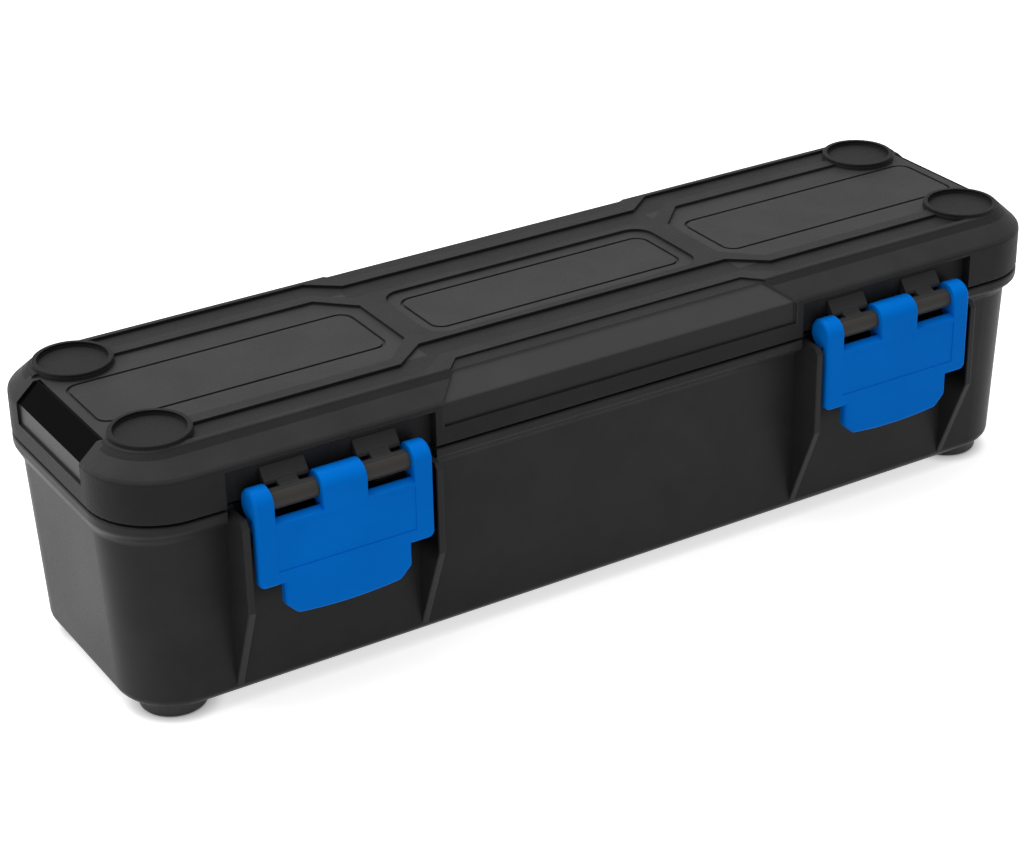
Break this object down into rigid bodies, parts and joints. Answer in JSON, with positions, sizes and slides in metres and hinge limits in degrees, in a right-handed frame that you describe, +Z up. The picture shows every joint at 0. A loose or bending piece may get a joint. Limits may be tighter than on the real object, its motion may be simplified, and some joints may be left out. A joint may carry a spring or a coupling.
{
  "type": "spool storage case",
  "caption": "Long moulded case for line spools, with a hinged lid, drop-down lever latches on the front, stacking dishes on the lid and round feet that nest in them.",
  "frame": {"origin": "middle of the footprint, on the surface that the feet stand on", "axes": "+X along the length, to the right of someone who faces the latches, +Y from the latches to the hinges, +Z up"},
  "size_m": [0.387, 0.1261, 0.1045],
  "materials": {
    "base_plastic": "satin moulded black",
    "lid_plastic": "fine spark texture, black, with smooth windows",
    "latch_plastic": "satin moulded blue",
    "seal_rubber": "soft matte",
    "foot_rubber": "matte",
    "foam": "closed-cell foam, matte",
    "pin_steel": "drawn wire"
  },
  "bodies": {
    "base": {"base_tub": "base_plastic", "base_liner": "foam", "hinge_pin_left": "pin_steel", "hinge_pin_right": "pin_steel", "foot_front_left": "foot_rubber", "foot_front_right": "foot_rubber", "foot_rear_left": "foot_rubber", "foot_rear_right": "foot_rubber"},
    "lid": {"lid_shell": "lid_plastic", "lid_seal": "seal_rubber", "lid_pad": "foam"},
    "latch_left": {"latch_lever_left": "latch_plastic", "latch_pin_left": "pin_steel"},
    "latch_right": {"latch_lever_right": "latch_plastic", "latch_pin_right": "pin_steel"}
  },
  "joints": [
    {"name": "lid_hinge", "type": "hinge", "parent": "base", "child": "lid", "pos_m": [0, 0.058, 0.08], "axis": [-1, 0, 0], "range_deg": [0, 105]},
    {"name": "latch_left_pivot", "type": "hinge", "parent": "lid", "child": "latch_left", "pos_m": [-0.1164, -0.0573, 0.081], "axis": [-1, 0, 0], "range_deg": [0, 150]},
    {"name": "latch_right_pivot", "type": "hinge", "parent": "lid", "child": "latch_right", "pos_m": [0.1164, -0.0573, 0.081], "axis": [-1, 0, 0], "range_deg": [0, 150]}
  ]
}
